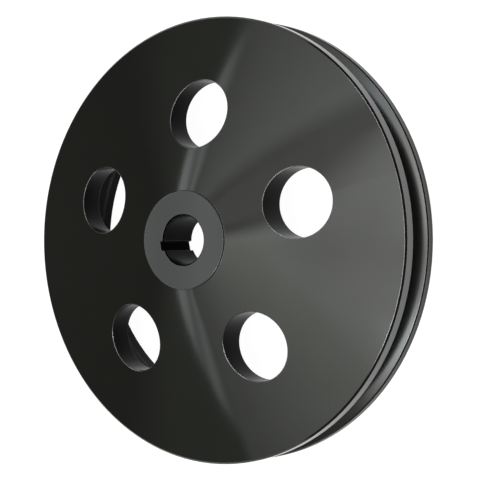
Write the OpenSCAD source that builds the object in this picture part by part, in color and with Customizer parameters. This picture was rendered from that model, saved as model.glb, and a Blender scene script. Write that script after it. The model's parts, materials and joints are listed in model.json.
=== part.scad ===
// Power steering pump pulley, turned and drilled from one piece of aluminium.
// It lies on the rear face of its rim, and +Z runs along the bore towards the front of the hub.

/* [Rim] */
// Outside diameter of the rim
rim_d = 146.05; // [132:0.5:164]
// Width of the rim along the bore
rim_w = 17.5; // [16.6:0.1:19]
// Bevel on the two outer corners of the rim
rim_bevel = 0.6; // [0.3:0.1:0.9]
// Thickness of the rim between the floor of the belt groove and the hollow back of the pulley
floor_wall = 5.9; // [4:0.1:7]
// Bevel on the inner corner of the rim's rear face
dish_bevel = 0.5; // [0.2:0.1:1]

/* [Belt groove] */
// Width of the belt at its top, which the groove takes at its broken corners
belt_w = 9.65; // [8.5:0.05:10.2]
// Depth of the groove below the outside of the rim
groove_depth = 11; // [9:0.5:12]
// Angle between the two groove walls
groove_angle = 36; // [30:1:38]
// Height of the middle of the groove above the rear face
groove_mid = 8.3; // [7.8:0.1:8.8]
// Bevel where the groove walls meet the outside of the rim
groove_bevel = 0.4; // [0.2:0.1:0.6]

/* [Web] */
// Thickness of the web beside the hub, along the bore
web_hub_t = 10.8; // [8:0.2:12]
// Thickness of the web beside the rim, along the bore
web_rim_t = 7.9; // [5:0.1:9]
// Radius of the fillets where the back of the web meets the hub and the rim
web_fillet = 1.5; // [0.5:0.25:2.5]

/* [Hub] */
// Outside diameter of the hub
hub_d = 31.75; // [28:0.25:36]
// Height of the hub's front face above the rear face of the rim
hub_face = 31.75; // [29:0.25:34]
// Length of the hub
hub_len = 15.7; // [14:0.1:18]
// Drop from the hub's front face to the start of the cone
hub_step = 0.7; // [0.6:0.1:1.5]
// Rounding on the hub's front edge
hub_round = 0.2; // [0.1:0.1:0.5]
// Bevel on the hub's rear edge
hub_bevel = 0.5; // [0.2:0.1:1]

/* [Bore and keyway] */
// Diameter of the bore
bore_d = 15.875; // [14:0.125:17]
// Bevel at both ends of the bore
bore_bevel = 0.45; // [0.2:0.05:0.8]
// Width of the keyway
key_w = 3.175; // [2.5:0.025:4]
// Depth of the keyway beyond the wall of the bore
key_depth = 1.25; // [0.8:0.05:2]
// Direction of the keyway, counted from the first lightening hole
key_angle = 176.4; // [150:0.2:210]

/* [Lightening holes] */
// Number of holes
hole_count = 5; // [3:1:6]
// Diameter of each hole
hole_d = 22.2; // [18:0.2:24]
// Least width of the web left between a hole and the rim
hole_margin = 4.3; // [3:0.1:6]
// Bevel on the front and the rear edge of each hole
hole_bevel = 0.15; // [0.1:0.05:0.5]

/* [Hidden] */
$fn = 144;
cut = 1;

rim_r = rim_d / 2;
floor_r = rim_r - groove_depth;
dish_r = floor_r - floor_wall;
hub_r = hub_d / 2;
bore_r = bore_d / 2;
hole_r = hole_d / 2;
hole_at = dish_r - hole_margin - hole_r;
hub_back = hub_face - hub_len;

// The front of the web is one straight cone from the hub to the rim's front edge
front_r = rim_r - rim_bevel;
front_z = hub_face - hub_step;
front_slope = (rim_w - front_z) / (front_r - hub_r);
function front(r) = front_z + front_slope * (r - hub_r);

// The back of the web is a second cone, a little flatter, so that the web thins towards the rim
back_z = front_z - web_hub_t;
back_slope = (front(dish_r) - web_rim_t - back_z) / (dish_r - hub_r);
function back(r) = back_z + back_slope * (r - hub_r);

// Centre of the fillet between the back of the web and an upright wall at radius r, to the side of way
function fillet_centre(r, way) = [
    r + way * web_fillet,
    back(r + way * web_fillet) - web_fillet * sqrt(1 + back_slope * back_slope)
];

// Point where that fillet meets the back of the web
function fillet_touch(r, way) = fillet_centre(r, way)
    + web_fillet * [-sin(atan(back_slope)), cos(atan(back_slope))];

// Section of the solid round that the turning starts from, with its front already shaped
module front_section() {
    difference() {
        polygon([
            [0, 0],
            [rim_r - rim_bevel, 0],
            [rim_r, rim_bevel],
            [rim_r, rim_w - rim_bevel],
            [front_r, rim_w],
            [hub_r, front_z],
            [hub_r, hub_face],
            [0, hub_face]
        ]);
        translate([hub_r - hub_round, hub_face - hub_round]) difference() {
            square(hub_round + cut);
            circle(hub_round);
        }
    }
}

// Section of what is turned away behind the hub and the web, rounded where it ends in a corner
module hollow_section() {
    polygon([
        [-cut, -cut],
        [dish_r + dish_bevel + cut, -cut],
        [dish_r, dish_bevel],
        [dish_r, fillet_centre(dish_r, -1)[1]],
        fillet_touch(dish_r, -1),
        fillet_touch(hub_r, 1),
        [hub_r, fillet_centre(hub_r, 1)[1]],
        [hub_r, hub_back + hub_bevel],
        [hub_r - hub_bevel, hub_back],
        [-cut, hub_back]
    ]);
    translate(fillet_centre(hub_r, 1)) circle(web_fillet);
    translate(fillet_centre(dish_r, -1)) circle(web_fillet);
}

// Section of the bore, with a bevel at each end
module bore_section() {
    polygon([
        [-cut, hub_back - cut],
        [bore_r + bore_bevel + cut, hub_back - cut],
        [bore_r, hub_back + bore_bevel],
        [bore_r, hub_face - bore_bevel],
        [bore_r + bore_bevel + cut, hub_face + cut],
        [-cut, hub_face + cut]
    ]);
}

// Section of the belt groove: two straight walls, a flat floor and broken corners
module groove_section() {
    corner_r = rim_r - groove_bevel;
    mouth = belt_w / 2;
    floor_half = mouth - (corner_r - floor_r) * tan(groove_angle / 2);
    translate([0, groove_mid]) polygon([
        [floor_r, -floor_half],
        [corner_r, -mouth],
        [rim_r + cut, -mouth - groove_bevel - cut],
        [rim_r + cut, mouth + groove_bevel + cut],
        [corner_r, mouth],
        [floor_r, floor_half]
    ]);
}

// Everything that the lathe makes
module turned_blank() {
    rotate_extrude() difference() {
        front_section();
        hollow_section();
        bore_section();
        groove_section();
    }
}

// A straight hole with both its edges broken, each square to the slope of the web there
module lightening_hole() {
    translate([hole_at, 0, 0]) {
        translate([0, 0, -cut]) cylinder(r = hole_r, h = hub_face + 2 * cut);
        translate([0, 0, front(hole_at)]) rotate([0, -atan(front_slope), 0]) broken_edge(front_slope);
        translate([0, 0, back(hole_at)]) rotate([0, 180 - atan(back_slope), 0]) broken_edge(back_slope);
    }
}

// The cone that takes the edge off a hole in a web with this slope, widening towards +Z
module broken_edge(slope) {
    edge_r = hole_r / cos(atan(slope)) + hole_bevel;
    translate([0, 0, -hole_bevel - 1])
        cylinder(r1 = edge_r - hole_bevel - 1, r2 = edge_r + 2, h = hole_bevel + 3);
}

module keyway() {
    rotate([0, 0, key_angle]) translate([0, -key_w / 2, hub_back - cut])
        cube([bore_r + key_depth, key_w, hub_len + 2 * cut]);
}

module pulley() {
    color("dimgray") difference() {
        turned_blank();
        for (i = [0 : hole_count - 1]) rotate([0, 0, i * 360 / hole_count]) lightening_hole();
        keyway();
    }
}

pulley();
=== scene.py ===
# %% [markdown]
# A power steering pump pulley in black anodised aluminium.
#
# The real pulley is turned from one billet, drilled with five holes and dyed black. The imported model
# already has its exact form, so nothing is modelled again here. This file gives the one solid its finish,
# and sets up the floor, the lamps and the camera. All lengths are metres, in the frame of the model:
# the pulley lies on the rear face of its rim, and +Z runs along the bore.

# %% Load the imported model
import bpy
import json
import math
from mathutils import Matrix, Vector

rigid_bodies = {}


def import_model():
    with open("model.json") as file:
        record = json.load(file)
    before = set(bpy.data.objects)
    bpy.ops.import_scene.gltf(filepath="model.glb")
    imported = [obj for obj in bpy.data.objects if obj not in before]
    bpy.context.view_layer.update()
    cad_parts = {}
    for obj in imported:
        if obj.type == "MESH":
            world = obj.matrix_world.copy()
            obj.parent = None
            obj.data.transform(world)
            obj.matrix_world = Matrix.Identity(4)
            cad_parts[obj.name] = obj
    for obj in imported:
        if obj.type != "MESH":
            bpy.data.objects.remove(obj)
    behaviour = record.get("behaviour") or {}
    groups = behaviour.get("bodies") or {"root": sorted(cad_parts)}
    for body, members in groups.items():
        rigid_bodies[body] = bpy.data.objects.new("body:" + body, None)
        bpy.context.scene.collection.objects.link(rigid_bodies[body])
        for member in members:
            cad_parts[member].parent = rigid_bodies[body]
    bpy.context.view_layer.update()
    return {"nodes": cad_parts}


for left_over in list(bpy.data.objects):
    bpy.data.objects.remove(left_over)
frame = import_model()
pulley = frame["nodes"]["pulley"]
mm = 0.001
print("pulley", [round(side / mm, 2) for side in pulley.dimensions], "mm")

# %% [markdown]
# The camera.
#
# The photograph shows the pulley from its front side and from its right, through a long lens. The pulley
# lies flat here, so the camera looks down on it, and it is rolled until the axis of the pulley points left
# in the picture. A place, a direction and a roll say that in a way that can be read and changed, where a
# matrix of nine numbers couldn't.

# %% Camera at the photograph's angle
camera_place = Vector((275.138, -83.461, 412.674)) * mm
camera_azimuth = math.radians(-16.897)      # level part of the way back to the camera, counted from +X
camera_lean = math.radians(34.855)          # angle between the pulley's axis and the line of sight
camera_roll = math.radians(90 - 0.305)      # turns +Z from up to left in the picture
camera_lens = 112.094                       # millimetres, as the sensor's width is
sensor_width = 36
nearest, farthest = 0.01, 50

backward = Vector((
    math.sin(camera_lean) * math.cos(camera_azimuth),
    math.sin(camera_lean) * math.sin(camera_azimuth),
    math.cos(camera_lean),
))
level = Vector((0, 0, 1)).cross(backward).normalized()
upright = backward.cross(level)
right = level * math.cos(camera_roll) - upright * math.sin(camera_roll)
up = level * math.sin(camera_roll) + upright * math.cos(camera_roll)

camera = bpy.data.objects.new("camera", bpy.data.cameras.new("camera"))
camera.data.lens = camera_lens
camera.data.sensor_width = sensor_width
camera.data.clip_start = nearest
camera.data.clip_end = farthest
camera.matrix_world = Matrix.Translation(camera_place) @ Matrix((right, up, backward)).transposed().to_4x4()
bpy.context.scene.collection.objects.link(camera)
bpy.context.scene.camera = camera
bpy.context.scene.view_settings.view_transform = "Standard"
print("camera axes", [[round(c, 4) for c in axis] for axis in (right, up, backward)])

# %% [markdown]
# Shader maths that reads like maths.
#
# A finish is a few formulas: how far a point is from the axis, which zone it lies in, how the tool marks
# run there. Wiring Math nodes by hand hides such a formula, so one small class wraps a socket and lets
# Python's own operators add the nodes. The reflected forms, such as __rsub__, are there so that a plain
# number may stand first, as in 1 - mask.

# %% Sockets in expressions
class Signal:
    """A value, colour, vector or shader that a node gives, for use in an expression."""

    def __init__(self, board, socket):
        self.board = board
        self.socket = socket

    def __add__(self, other):
        return self.board.maths("ADD", self, other)

    def __radd__(self, other):
        return self.board.maths("ADD", other, self)

    def __sub__(self, other):
        return self.board.maths("SUBTRACT", self, other)

    def __rsub__(self, other):
        return self.board.maths("SUBTRACT", other, self)

    def __mul__(self, other):
        return self.board.maths("MULTIPLY", self, other)

    def __rmul__(self, other):
        return self.board.maths("MULTIPLY", other, self)

    def __truediv__(self, other):
        return self.board.maths("DIVIDE", self, other)

    def __rtruediv__(self, other):
        return self.board.maths("DIVIDE", other, self)

    def __pow__(self, other):
        return self.board.maths("POWER", self, other)

    def __rpow__(self, other):
        return self.board.maths("POWER", other, self)

    def __gt__(self, other):
        return self.board.maths("GREATER_THAN", self, other)

    def __lt__(self, other):
        return self.board.maths("LESS_THAN", self, other)

    def __abs__(self):
        return self.board.maths("ABSOLUTE", self)

    def smooth(self, low, high):
        """0 below low, 1 above high, with a soft change between them."""
        return self.board.node("ShaderNodeMapRange", {"interpolation_type": "SMOOTHSTEP"},
                               {"Value": self, "From Min": low, "From Max": high})


print("class", Signal.__name__, "wraps one socket")

# %% [markdown]
# One method for every other node.
#
# A node needs three things: its type, its settings, and what goes into its sockets. The settings come
# first, because they can change which sockets there are. A number or a colour is written on the socket, and
# a Signal is linked to it. Masks and numbers go through Math nodes. Colours go through Mix, because a Math
# node would turn a colour grey.

# %% A board of nodes
class Board:
    """The nodes of one material, of one lamp or of the world."""

    def __init__(self, owner):
        owner.use_nodes = True
        self.tree = owner.node_tree
        self.tree.nodes.clear()

    def node(self, kind, settings=None, sockets=None, out=0):
        """Adds a node. out is the output wanted, or a tuple of names for a list of them."""
        made = self.tree.nodes.new(kind)
        for name, value in (settings or {}).items():
            setattr(made, name, value)
        for name, value in (sockets or {}).items():
            if isinstance(value, Signal):
                self.tree.links.new(value.socket, made.inputs[name])
            else:
                made.inputs[name].default_value = value
        if isinstance(out, tuple):
            return [Signal(self, made.outputs[name]) for name in out]
        return Signal(self, made.outputs[out]) if made.outputs else made

    def maths(self, operation, *values):
        return self.node("ShaderNodeMath", {"operation": operation}, dict(enumerate(values)))

    def dot(self, first, second):
        return self.node("ShaderNodeVectorMath", {"operation": "DOT_PRODUCT"}, {0: first, 1: second}, "Value")

    def split(self, vector):
        """The three parts of a vector."""
        return self.node("ShaderNodeSeparateXYZ", {}, {"Vector": vector}, ("X", "Y", "Z"))

    def blend(self, share, low, high):
        """The colour low where share is 0, and high where it is 1."""
        colour_a, colour_b, colour_out = 6, 7, 2      # Mix has an A, a B and a result for each kind of data
        return self.node("ShaderNodeMix", {"data_type": "RGBA"},
                         {"Factor": share, colour_a: low, colour_b: high}, colour_out)


def grey(level):
    return (level, level, level, 1)


print("class", Board.__name__, "adds nodes, and a mid grey is", grey(0.2))

# %% [markdown]
# The floor's paint.
#
# The photograph has a plain white ground. Lighting a pale floor until it clips would flood the pulley
# too, so most of the floor's white is its own glow, which only the camera and mirror-like rays see. A
# metal then reflects nearly the white that the camera sees. The rest is plain matt paint, and that keeps a
# faint shadow. A glow takes no shadow of its own, though, and the rear of the rim mirrors the floor just
# beside it, where a real floor is dimmed by the pulley that stands on it. So the glow is a little weaker
# there, in a narrow ring close to the rim that only mirror-like rays see.

# %% Pale paint with a contact shade
floor_glow = 0.975                      # to the camera, for which 1 is white
mirror_glow = 0.84                      # to a mirror-like surface
floor_paint = 0.2
shade_starts = (72 * mm, 73 * mm)       # distances from the axis, and the rim ends at 73 mm
shade_ends = (73.6 * mm, 75 * mm)
shade_level = 0.64

floor_stuff = bpy.data.materials.new("studio_floor")
paint = Board(floor_stuff)
light_path = ("Is Camera Ray", "Is Glossy Ray", "Is Transmission Ray")
to_camera, to_gloss, to_glass = paint.node("ShaderNodeLightPath", out=light_path)
mirrored = paint.maths("MAXIMUM", to_gloss, to_glass)
floor_x, floor_y, _ = paint.split(paint.node("ShaderNodeTexCoord", out="Object"))
from_axis = (floor_x * floor_x + floor_y * floor_y) ** 0.5
shaded = from_axis.smooth(*shade_starts) * (1 - from_axis.smooth(*shade_ends))
glow = paint.node("ShaderNodeEmission", {}, {
    "Color": paint.blend(shaded * mirrored, grey(1), grey(shade_level)),
    "Strength": to_camera * floor_glow + mirrored * mirror_glow,
})
matt = paint.node("ShaderNodeBsdfDiffuse", {}, {"Color": grey(floor_paint)})
both = paint.node("ShaderNodeAddShader", {}, {0: glow, 1: matt})
paint.node("ShaderNodeOutputMaterial", {}, {"Surface": both})
print("floor paint of", len(paint.tree.nodes), "nodes")

# %% [markdown]
# The floor and the wall round it.
#
# A floor could be one square, but a view from the side would look past its edge into the dim room. A low
# round wall of the same stuff closes the ground on every side, and it is low enough to leave the lamps
# free. The floor lies a hair below the pulley, so that their faces don't fight for one place.

# %% Round floor
floor_r = 4.0
wall_height = 0.66
floor_gap = 0.05 * mm
wall_sides = 96

ring = [(math.cos(2 * math.pi * k / wall_sides), math.sin(2 * math.pi * k / wall_sides))
        for k in range(wall_sides)]
corners = [(floor_r * x, floor_r * y, z) for z in (-floor_gap, wall_height) for x, y in ring]
faces = [tuple(range(wall_sides))]
for k in range(wall_sides):
    after = (k + 1) % wall_sides
    faces.append((k, wall_sides + k, wall_sides + after, after))
floor_mesh = bpy.data.meshes.new("studio_floor")
floor_mesh.from_pydata(corners, [], faces)
floor = bpy.data.objects.new("studio_floor", floor_mesh)
floor.data.materials.append(floor_stuff)
bpy.context.scene.collection.objects.link(floor)
print("floor", floor_r, "m from middle to wall, wall", wall_height, "m high")

# %% [markdown]
# The lamps.
#
# A black glossy part is seen almost only by what it reflects, so each lamp is placed by the face that
# looks at it. The cone of the web works like a bent mirror: going once round the cone, its reflection goes
# once round a ring on the ceiling. All soft boxes hang level, about 3 m up, and each covers the part of the
# ceiling whose reflection should be light.
#
# A real soft box is brighter in one part than in another, and it fades towards its edge. Both are worked
# out on the lamp's own face here, from the place that a ray leaves it. Every lamp hangs slightly higher than
# the one before, because a ray that meets two lamps at one distance counts only one of them. Its size grows
# with its height, so it looks the same from the pulley.

# %% How a soft box is made
ceiling = 3.0
growth = 0.006              # each lamp is larger and higher than the one before by this share of the ceiling
view_side = Vector((math.cos(camera_azimuth), math.sin(camera_azimuth), 0))     # level, towards the camera
view_up = Vector((-math.sin(camera_azimuth), math.cos(camera_azimuth), 0))      # level, up in the picture
turned_level = Matrix((view_side, view_up, Vector((0, 0, 1)))).transposed().to_4x4()


def soft_box(name, side, up, radiance, edge, slant=(0, 0), rise=0.0, tint=(1, 1, 1)):
    """Hangs a level panel, and returns the light that it adds to a level white face.

    side and up are its ranges along view_side and view_up, and radiance is given at its two sides. edge
    holds the widths of its soft edges (left, right, low, high), slant the slopes of its low and its high
    edge, and rise is how much brighter it gets from its low to its high edge, as a share."""
    middle = sum(side) / 2
    reach = (side[1] - side[0]) / 2
    left_end = side[0] - edge[0] / 2
    right_end = side[1] + edge[1] / 2
    low_end = up[0] - abs(slant[0]) * reach - edge[2] / 2
    high_end = up[1] + abs(slant[1]) * reach + edge[3] / 2

    lamp = bpy.data.lights.new(name, "AREA")
    lamp.shape = "RECTANGLE"
    lamp.size = right_end - left_end
    lamp.size_y = high_end - low_end
    lamp.energy = math.pi * lamp.size * lamp.size_y      # makes a strength of 1 a radiance of 1

    face = Board(lamp)
    across, along, _ = face.split(face.node("ShaderNodeNewGeometry", out="Parametric"))
    across = across * lamp.size + left_end
    along = along * lamp.size_y + low_end
    share = (across - side[0]) / (side[1] - side[0])
    height = (along - up[0]) / (up[1] - up[0])
    strength = share * (radiance[1] - radiance[0]) + radiance[0]
    strength = strength * (height * rise + (1 - rise / 2))
    for reached, width in (
        (across - side[0], edge[0]),
        (side[1] - across, edge[1]),
        (along - (across - middle) * slant[0] - up[0], edge[2]),
        ((across - middle) * slant[1] + up[1] - along, edge[3]),
    ):
        strength = strength * reached.smooth(-width / 2, width / 2)
    light = face.node("ShaderNodeEmission", {}, {"Color": (*tint, 1), "Strength": strength})
    face.node("ShaderNodeOutputLight", {}, {"Surface": light})

    item = bpy.data.objects.new(name, lamp)
    place = view_side * (left_end + right_end) / 2 + view_up * (low_end + high_end) / 2
    place += Vector((0, 0, ceiling))
    higher = Matrix.Scale(1 + growth * len(bpy.data.lights), 4)
    item.matrix_world = higher @ Matrix.Translation(place) @ turned_level
    item.visible_camera = False
    bpy.context.scene.collection.objects.link(item)

    area = (side[1] - side[0]) * (up[1] - up[0])
    view_factor = area * ceiling ** 2 / place.length_squared ** 2 / math.pi
    adds = sum(radiance) / 2 * view_factor
    print(name, round(lamp.size, 2), "x", round(lamp.size_y, 2), "m, adds", round(adds, 3), "to a level face")
    return adds


print("lamps", ceiling, "m up")

# %% [markdown]
# Four panels for the cone.
#
# The key panel lights the right of the cone, and it gets brighter to the right and towards its low end. The
# fill panel thins the light out downwards, and the upper panel does the same upwards, with the darker wedge
# panel between the key and the upper one. To the left of these panels the ceiling stays dark, and so does
# the left half of the cone.

# %% Panels over the cone
lit = [
    soft_box("key_panel", side=(-0.27, 1.60), up=(-1.72, 0.97), radiance=(1.51, 3.95),
             edge=(0.25, 0.30, 0.40, 0.05), slant=(0.00, 0.04), rise=-1.09, tint=(1.00, 0.99, 1.02)),
    soft_box("fill_panel", side=(-1.94, -0.27), up=(-2.17, -0.40), radiance=(0.49, 1.20),
             edge=(0.19, 0.21, 0.40, 0.40), slant=(0.50, 0.80), rise=0.39, tint=(1.00, 1.01, 0.99)),
    soft_box("upper_panel", side=(-2.00, 0.80), up=(1.19, 2.70), radiance=(0.50, 1.47),
             edge=(0.57, 0.30, 0.28, 0.30), slant=(-0.05, 0.00), rise=-0.29, tint=(1.03, 1.04, 1.07)),
    soft_box("wedge_panel", side=(-1.70, 0.90), up=(0.19, 1.21), radiance=(0.47, 0.96),
             edge=(0.30, 0.80, 0.76, 0.42), slant=(0.00, 0.07), rise=0.06, tint=(1.01, 1.01, 0.99)),
]

# %% [markdown]
# Two strips for the hub.
#
# Far to the left, a wide and a slim strip hang side by side. The hub's flat face mirrors the slim one and
# the gap beside it, and the two make the double streaks that run over the cone above and below the hub. A
# weak panel over both has very soft edges, as light that spills past a strip does, and it keeps the
# streaks from standing in pure black.

# %% Strips over the hub
lit += [
    soft_box("wide_strip", side=(-3.85, -2.36), up=(-1.70, 1.67), radiance=(2.40, 1.26),
             edge=(0.26, 0.38, 0.03, 0.03), slant=(-0.30, 0.40), rise=0.21, tint=(0.99, 1.01, 1.08)),
    soft_box("slim_strip", side=(-2.26, -2.03), up=(-2.00, 2.06), radiance=(1.27, 1.27),
             edge=(0.30, 0.30, 0.03, 0.03), slant=(-0.30, 0.40), rise=0.14, tint=(0.90, 0.90, 0.97)),
    soft_box("strip_spill", side=(-4.00, -1.85), up=(-2.90, 2.90), radiance=(0.11, 0.13),
             edge=(1.70, 0.30, 0.90, 0.90), tint=(0.97, 1.08, 0.95)),
]

# %% [markdown]
# Three panels for the belt groove.
#
# The front wall of the belt groove faces away from the camera, so only the outer part of its rear wall
# shows, as the light band along the right side of the pulley. It looks at the ceiling straight above, and
# these three panels set how light the band is in its upper, its middle and its lower part.

# %% Panels over the groove
lit += [
    soft_box("high_panel", side=(-0.20, 0.90), up=(1.42, 2.40), radiance=(1.90, 1.90),
             edge=(0.25, 0.30, 0.20, 0.30), tint=(0.90, 0.99, 1.18)),
    soft_box("side_panel", side=(0.05, 0.90), up=(0.05, 1.42), radiance=(2.00, 2.00),
             edge=(0.25, 0.30, 0.30, 0.10)),
    soft_box("low_panel", side=(-0.12, 1.00), up=(-1.38, -0.72), radiance=(3.00, 3.00),
             edge=(0.25, 0.30, 0.40, 0.30), tint=(0.93, 0.99, 1.12)),
]

# %% [markdown]
# The room round the soft boxes.
#
# Whatever looks past every lamp still sees a dim room, and that keeps the dark half of the cone from being
# a hole in the picture. The room is a little warmer than the lamps, and lighter on the left than on the
# right.

# %% Dim room
room_light = 0.145
room_change = 0.04
room_colour = (1.01, 1.00, 0.90, 1)

world = bpy.data.worlds.new("studio_room")
bpy.context.scene.world = world
room = Board(world)
to_right = room.dot(room.node("ShaderNodeTexCoord", out="Generated"), view_side)
air = room.node("ShaderNodeBackground", {}, {
    "Color": room_colour,
    "Strength": room_light - to_right * room_change,
})
room.node("ShaderNodeOutputWorld", {}, {"Surface": air})
print("light on a level white face:", round(sum(lit) + room_light, 3))

# %% [markdown]
# Where a point lies.
#
# The lathe, the drill and the broach leave different surfaces, and each has its own look on the real part.
# One mesh carries them all, so the material finds its zone by measuring. Distance from the axis and height
# tell the hub, the web, the groove and the rim apart. For the holes, the angle round the axis is folded
# into one fifth of a turn, which brings every hole onto the first one, and the distance from that one
# hole's axis is enough.

# %% Distances from the axis and from a hole
hole_count = 5
hole_at = 40.725 * mm           # from the pulley's axis to the hole's
finish = bpy.data.materials.new("anodised_black")
skin = Board(finish)
spot = skin.node("ShaderNodeTexCoord", out="Object")
x, y, z = skin.split(spot)
radius = (x * x + y * y) ** 0.5
turn = skin.maths("ARCTAN2", y, x)
one_hole = 2 * math.pi / hole_count
folded = turn - skin.maths("ROUND", turn / one_hole) * one_hole
out_from_hole = radius * skin.maths("COSINE", folded) - hole_at
side_of_hole = radius * skin.maths("SINE", folded)
from_hole = (out_from_hole * out_from_hole + side_of_hole * side_of_hole) ** 0.5
print("distances use", len(skin.tree.nodes), "nodes")

# %% [markdown]
# The zones.
#
# Each zone is a mask, 1 inside and 0 outside, and masks multiply where both have to hold. The sizes are
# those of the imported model. A zone reaches a hair past its own face and stays off its neighbour's.

# %% Masks of the zones
hole_r = 11.1 * mm
bore_r = 7.94 * mm
keyway_r = 9.6 * mm             # beyond the farthest corner of the keyway
hub_r = 15.875 * mm
hub_face_z = 31.75 * mm
hub_back_z = 16.05 * mm
hub_round = 0.2 * mm
hub_step = 0.7 * mm             # from the hub's face down to the cone
rim_r = 73.025 * mm
rim_w = 17.5 * mm
groove_floor_r = 62.025 * mm
groove_top = 14.5 * mm          # above the groove, in the front land of the rim
hollow_r = 56.125 * mm          # upright wall of the hollow back
hollow_top = 13.5 * mm
margin = 0.1 * mm
hair = 0.02 * mm

in_hole = 1 - from_hole.smooth(hole_r + hair, hole_r + 4 * hair)
in_bore = (radius < keyway_r) * (z < hub_face_z - margin) * (z > hub_back_z + margin)
in_keyway = (radius > bore_r + 6 * margin) * (radius < keyway_r)
at_bore = radius < keyway_r
at_hub = radius < hub_r + 4 * margin
on_hub_face = z > hub_face_z - margin / 2
on_hub_edge = (radius > hub_r - hub_round - hair) * (radius < hub_r + hair) * (z > hub_face_z - hub_step)
on_hollow_wall = (abs(radius - hollow_r) < 1.5 * margin) * (z < hollow_top)
in_groove = (radius > groove_floor_r - margin) * (z < groove_top)
on_rim = radius > rim_r - margin
print("masks and distances use", len(skin.tree.nodes), "nodes")

# %% [markdown]
# The edges.
#
# No real edge is a knife. Tumbling before anodising rounds each one by a quarter of a millimetre or less,
# and that thin round catches light from many directions, which gives the fine bright lines along the holes
# and the rim. The Bevel node rounds the shading there without touching the mesh. Comparing its normal with
# the plain one also finds the edges, and the black is painted lighter along them, partly because the dye is
# rubbed thin there and partly as a painted highlight. The narrow bevels that the lathe cuts at 45 degrees
# stay black, and they are the dark lines beside the light ones. Their own tilt tells them apart: where such
# a face looks to the front, the third part of its True Normal is 0.707.

# %% Rounded edges, rubbed and with a painted highlight
edge_r = 0.24 * mm
edge_samples = 6
bend = (0.002, 0.015)           # 1 less the cosine between the rounded and the plain normal
patch_scale = 350.0             # to a metre, so a patch is about 3 mm long
patch_range = (0.35, 0.6)
patch_depth = 0.2               # share of the rubbing and painted highlight that comes and goes along an edge
bevel_tilt = math.sqrt(0.5)
tilt_margin = 0.08
hole_edge = 0.5 * mm            # the edges of the holes are worn across their whole width

rounded = skin.node("ShaderNodeBevel", {"samples": edge_samples}, {"Radius": edge_r})
bent = 1 - skin.dot(rounded, skin.node("ShaderNodeNewGeometry", out="Normal"))
tilt = skin.split(skin.node("ShaderNodeNewGeometry", out="True Normal"))[2]
on_bevel = (abs(tilt - bevel_tilt) < tilt_margin) * (from_hole > hole_r + hole_edge)
patchy = skin.node("ShaderNodeTexNoise", {}, {"Vector": spot, "Scale": patch_scale, "Detail": 2.0})
patches = patchy.smooth(*patch_range) * patch_depth + (1 - patch_depth)
# Mask of the edges: rubbed dye and a painted highlight along them.
edge_wear_and_highlight = bent.smooth(*bend) * patches * (1 - on_bevel)
print("edges rounded by", edge_r / mm, "mm")

# %% [markdown]
# The turned finish.
#
# Black anodising is a dyed skin of oxide, a few hundredths of a millimetre thick, so it copies the
# surface under it. The fine turning cut leaves that surface nearly a mirror, with faint rings round the
# axis. A metal with a dark base colour gives such a black mirror. The rings are a noise that depends only
# on the distance from the axis, and a slower noise clouds the black a little, because the dye never takes
# quite evenly. The hub's face is a little lighter, and its rounded edge lighter still, as a painted
# highlight. The rim is lighter at its front land and painted darker towards its rear face, a painted shade
# where it stands on the floor. The groove is less smooth than the rest.

# %% Black of each turned face
cloud_dark = (0.0625, 0.0648, 0.0612, 1)
cloud_light = (0.0705, 0.0730, 0.0691, 1)
hub_face_black = (0.0785, 0.0812, 0.0785, 1)
# Painted highlight along the hub's rounded edge.
hub_edge_highlight_black = (0.084, 0.087, 0.085, 1)
# The rim's black is painted darker towards its rear face, a painted shade where it stands on the floor.
rear_land_shade_black = (0.064, 0.064, 0.062, 1)
front_land_black = (0.122, 0.122, 0.121, 1)
land_shade_span = (0.2, 0.9)        # shares of the rim's width, counted from its rear face
# Lighter black along the edges, partly rubbed dye and partly a painted highlight.
wear_and_highlight_black = (0.42, 0.42, 0.41, 1)
wear_and_highlight_share = 0.75
less_at_hub = 0.66
less_at_bore = 0.04
cloud_scale = 60.0              # to a metre, so a cloud is about 17 mm across

cloud = skin.node("ShaderNodeTexNoise", {}, {"Vector": spot, "Scale": cloud_scale, "Detail": 3.0})
# Painted shade: the rim darker towards its rear face.
lands_with_painted_shade = skin.blend((z / rim_w).smooth(*land_shade_span), rear_land_shade_black, front_land_black)
black = skin.blend(cloud, cloud_dark, cloud_light)
black = skin.blend(on_hub_face, black, hub_face_black)
black = skin.blend(on_rim, black, lands_with_painted_shade)
# Painted highlight on the hub's rounded edge.
black = skin.blend(on_hub_edge, black, hub_edge_highlight_black)
# Edges painted lighter: rubbed dye and a painted highlight.
black = skin.blend(edge_wear_and_highlight * (wear_and_highlight_share - less_at_hub * at_hub - less_at_bore * at_bore), black, wear_and_highlight_black)
print("the cone gives back", cloud_dark[1], "to", cloud_light[1], "of the light")

# %% Turned and anodised skin
ring_pitch = 0.5 * mm
ring_height = 0.01 * mm
ring_strength = 0.1
cone_roughness = 0.065
cloud_roughness = 0.012         # added where the cloud is light
groove_roughness = 0.1          # added in the groove

rings = skin.node("ShaderNodeTexNoise", {"noise_dimensions": "1D"},
                  {"W": radius * (1 / ring_pitch), "Scale": 1.0, "Detail": 2.0})
marks = skin.node("ShaderNodeBump", {},
                  {"Height": rings, "Strength": ring_strength, "Distance": ring_height, "Normal": rounded})
turned = skin.node("ShaderNodeBsdfPrincipled", {}, {
    "Base Color": black,
    "Metallic": 1.0,
    "Roughness": cone_roughness + cloud * cloud_roughness + in_groove * groove_roughness,
    "Normal": marks,
})
print("rings about", ring_pitch / mm, "mm apart")
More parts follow.
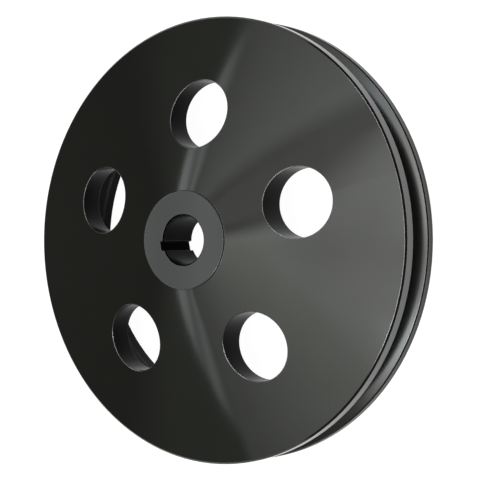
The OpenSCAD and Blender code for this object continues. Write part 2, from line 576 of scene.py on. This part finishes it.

# %% [markdown]
# The drilled walls.
#
# A drill tears where a lathe tool slices, so the walls of the holes are rougher, with marks that run round
# the hole with the feed of the drill. Light that falls into the tears is lost, and the walls look nearly
# black face on. At a low angle they still mirror the floor under the pulley, and the lower the angle the
# more. A metal with a base colour near zero does just that: the base colour is what it gives back face on,
# and Specular Tint holds back what it gives at the lowest angles. The base is painted a little lighter
# towards the rear, a painted stand-in for the light that the floor sends in there.
#
# The bore and the upright wall of the hollow back mirror less at a low angle. They are mostly or wholly a
# non-metal of low IOR, from the same shader with less Metallic. The bore's base is painted darker still, a
# painted shade deep in the bore. The wall of the hollow also has one lighter line round it, which shows
# through the holes on the left.

# %% Marks of the drill
score_pitch = 0.5 * mm
score_height = 0.03 * mm
score_strength = 0.5
hole_turn = skin.maths("ARCTAN2", side_of_hole, out_from_hole)
feed = z * (1 / score_pitch) + hole_turn * (1 / (2 * math.pi))      # grows by 1 with each turn of the drill
scores = skin.node("ShaderNodeTexNoise", {"noise_dimensions": "1D"}, {"W": feed, "Scale": 1.0, "Detail": 2.0})
torn = skin.node("ShaderNodeBump", {},
                 {"Height": scores, "Strength": score_strength, "Distance": score_height, "Normal": rounded})
print("drill marks about", score_pitch / mm, "mm apart")

# %% Black of each wall
cone_fall = 0.24                # drop of the web's front for each metre outwards
web_back = 24 * mm              # z + cone_fall * radius, a millimetre behind the web
web_front = 36 * mm             # the same, a millimetre before it
line_z = 4.9 * mm
line_fades = (0.3 * mm, 1.1 * mm)
score_range = (0.3, 0.7)
score_dark = 0.001
score_light = 0.0025
# Painted light: the walls lighter towards the rear, for the light that the floor sends in.
rear_painted_light_black = 0.0075
# The bore painted darker, a painted shade in its deep recess.
bore_shade_black = 0.0008
hollow_black = 0.0125
# Lighter at the edges of the walls, partly rubbed dye and partly a painted highlight.
worn_highlit_wall = (0.15, 0.15, 0.145, 1)
hole_wear_and_highlight = 0.55                # share of the rubbing and painted highlight that shows at the edge of a hole

# Painted light from the floor, stronger towards the rear.
painted_floor_light = 1 - (z + radius * cone_fall).smooth(web_back, web_front)
light_line = on_hollow_wall * (1 - abs(z - line_z).smooth(*line_fades))
wall_wear_and_highlight = edge_wear_and_highlight * (hole_wear_and_highlight + (1 - hole_wear_and_highlight) * in_bore)
deep = skin.blend(scores.smooth(*score_range), grey(score_dark), grey(score_light))
deep = skin.blend(painted_floor_light, deep, grey(rear_painted_light_black))
# Painted shade in the bore.
deep = skin.blend(in_bore, deep, grey(bore_shade_black))
deep = skin.blend(on_hollow_wall, deep, grey(hollow_black))
deep = skin.blend(skin.maths("MAXIMUM", wall_wear_and_highlight, light_line), deep, worn_highlit_wall)
print("a hole's wall gives back", score_dark, "to", rear_painted_light_black, "of the light face on")

# %% Drilled and broached walls
wall_roughness = 0.2
score_roughness = 0.1           # added where a score is high
bore_roughness = 0.04           # added in the bore
keyway_roughness = 0.5          # added in the keyway
bore_non_metal = 0.8
low_ior = 1.12
low_angle_tint = 0.78

drilled = skin.node("ShaderNodeBsdfPrincipled", {}, {
    "Base Color": deep,
    "Metallic": 1 - in_bore * bore_non_metal - on_hollow_wall,
    "Roughness": (wall_roughness + scores * score_roughness + in_bore * bore_roughness
                  + in_keyway * keyway_roughness),
    "IOR": low_ior,
    "Specular Tint": grey(low_angle_tint),
    "Normal": torn,
})
on_wall = skin.maths("MAXIMUM", in_hole, skin.maths("MAXIMUM", in_bore, on_hollow_wall))
surface = skin.node("ShaderNodeMixShader", {}, {0: on_wall, 1: turned, 2: drilled})
skin.node("ShaderNodeOutputMaterial", {}, {"Surface": surface})
print("finish of", len(skin.tree.nodes), "nodes")

# %% [markdown]
# The finish goes on.
#
# The solid stays as it was imported. Only its material slots change, so its size, its place and the way it
# rides on its body are as the imported model has them.

# %% Finish on the solid
for slot in pulley.material_slots:
    slot.material = finish
print("finish on", len(pulley.material_slots), "slot of the pulley")
